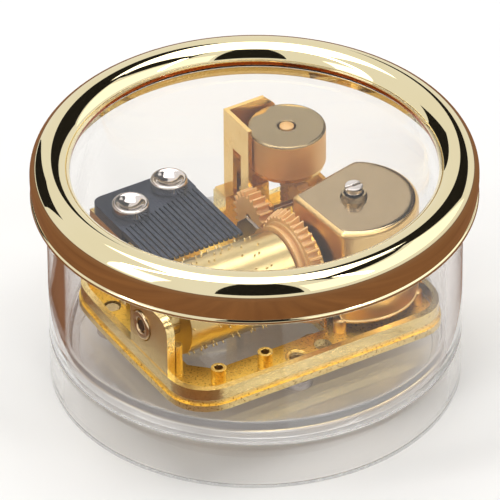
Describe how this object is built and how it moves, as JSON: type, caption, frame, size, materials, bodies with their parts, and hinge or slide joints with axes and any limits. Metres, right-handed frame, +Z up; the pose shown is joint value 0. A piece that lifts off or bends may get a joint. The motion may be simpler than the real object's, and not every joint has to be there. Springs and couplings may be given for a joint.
{
  "type": "music box",
  "caption": "Round clear music box with a plated ring lid and window over a key-wound pinned-cylinder movement with comb, gears, spring housing and air governor.",
  "frame": {"origin": "centre of the foot ring, on the plane that the box stands on", "axes": "+Z up; -Y is the front of the case, where the camera stood; the movement inside is turned 31 degrees about +Z"},
  "size_m": [0.07, 0.07, 0.0405],
  "materials": {
    "clear_case": "clear moulded plastic, polished",
    "plated_ring": "pale champagne gold plating on moulded plastic, mirror bright",
    "gold_casting": "gold plated die casting, bright web and fine cast texture on the lower flange",
    "gold_sheet": "gold plated sheet metal, satin with bright edges",
    "pale_brass": "pale brass, bright",
    "comb_steel": "dark blue-grey steel, ground",
    "bright_steel": "bright nickel plated steel",
    "spring_steel": "spring steel",
    "amber_plastic": "amber moulded plastic, satin"
  },
  "bodies": {
    "case": {"base_tray": "clear_case", "case_wall": "clear_case", "bedplate": "gold_casting", "end_grommet": "bright_steel", "cylinder_bearing_plate": "gold_sheet", "comb": "comb_steel", "comb_screw_left": "bright_steel", "comb_screw_right": "bright_steel", "spring_housing": "gold_sheet", "mainspring": "spring_steel", "arbor_bush": "gold_sheet", "governor_bracket": "gold_sheet", "bracket_screw": "bright_steel", "governor_cup": "gold_sheet", "mounting_screw_front": "bright_steel", "mounting_screw_left": "bright_steel", "mounting_screw_right": "bright_steel"},
    "lid": {"bezel_ring": "plated_ring", "lid_window": "clear_case"},
    "cylinder": {"pinned_cylinder": "pale_brass", "cylinder_gear": "amber_plastic", "cylinder_arbor": "bright_steel"},
    "main_wheel": {"main_wheel": "pale_brass", "click": "spring_steel"},
    "winding": {"winding_arbor": "bright_steel", "arbor_screw": "bright_steel", "ratchet_wheel": "spring_steel", "winding_key": "gold_sheet"},
    "intermediate": {"intermediate_wheel": "amber_plastic", "worm_wheel": "amber_plastic", "intermediate_arbor": "bright_steel"},
    "governor": {"governor_spindle": "amber_plastic", "governor_weight_back": "amber_plastic", "governor_weight_front": "amber_plastic"}
  },
  "joints": [
    {"name": "lid_lift", "type": "slide", "parent": "case", "child": "lid", "axis": [0, 0, 1], "range_m": [0, 0.01]},
    {"name": "cylinder_spin", "type": "hinge", "parent": "case", "child": "cylinder", "pos_m": [-0.00443, -0.00972, 0.0213], "axis": [0.8572, 0.515, 0], "continuous": true},
    {"name": "main_wheel_spin", "type": "hinge", "parent": "case", "child": "main_wheel", "pos_m": [0.01546, 0.00106, 0.0145], "axis": [0, 0, 1], "continuous": true},
    {"name": "winding_turn", "type": "hinge", "parent": "main_wheel", "child": "winding", "pos_m": [0.01546, 0.00106, 0.0145], "axis": [0, 0, 1], "range_deg": [0, 1710]},
    {"name": "intermediate_spin", "type": "hinge", "parent": "case", "child": "intermediate", "pos_m": [0.00413, 0.01041, 0.0224], "axis": [0.8572, 0.515, 0], "continuous": true},
    {"name": "governor_spin", "type": "hinge", "parent": "case", "child": "governor", "pos_m": [0.00513, 0.01632, 0.03], "axis": [0, 0, 1], "continuous": true}
  ],
  "couplings": [
    {"joint": "main_wheel_spin", "follows": "cylinder_spin", "ratio": -0.875},
    {"joint": "intermediate_spin", "follows": "cylinder_spin", "ratio": -2},
    {"joint": "governor_spin", "follows": "cylinder_spin", "ratio": 32}
  ]
}
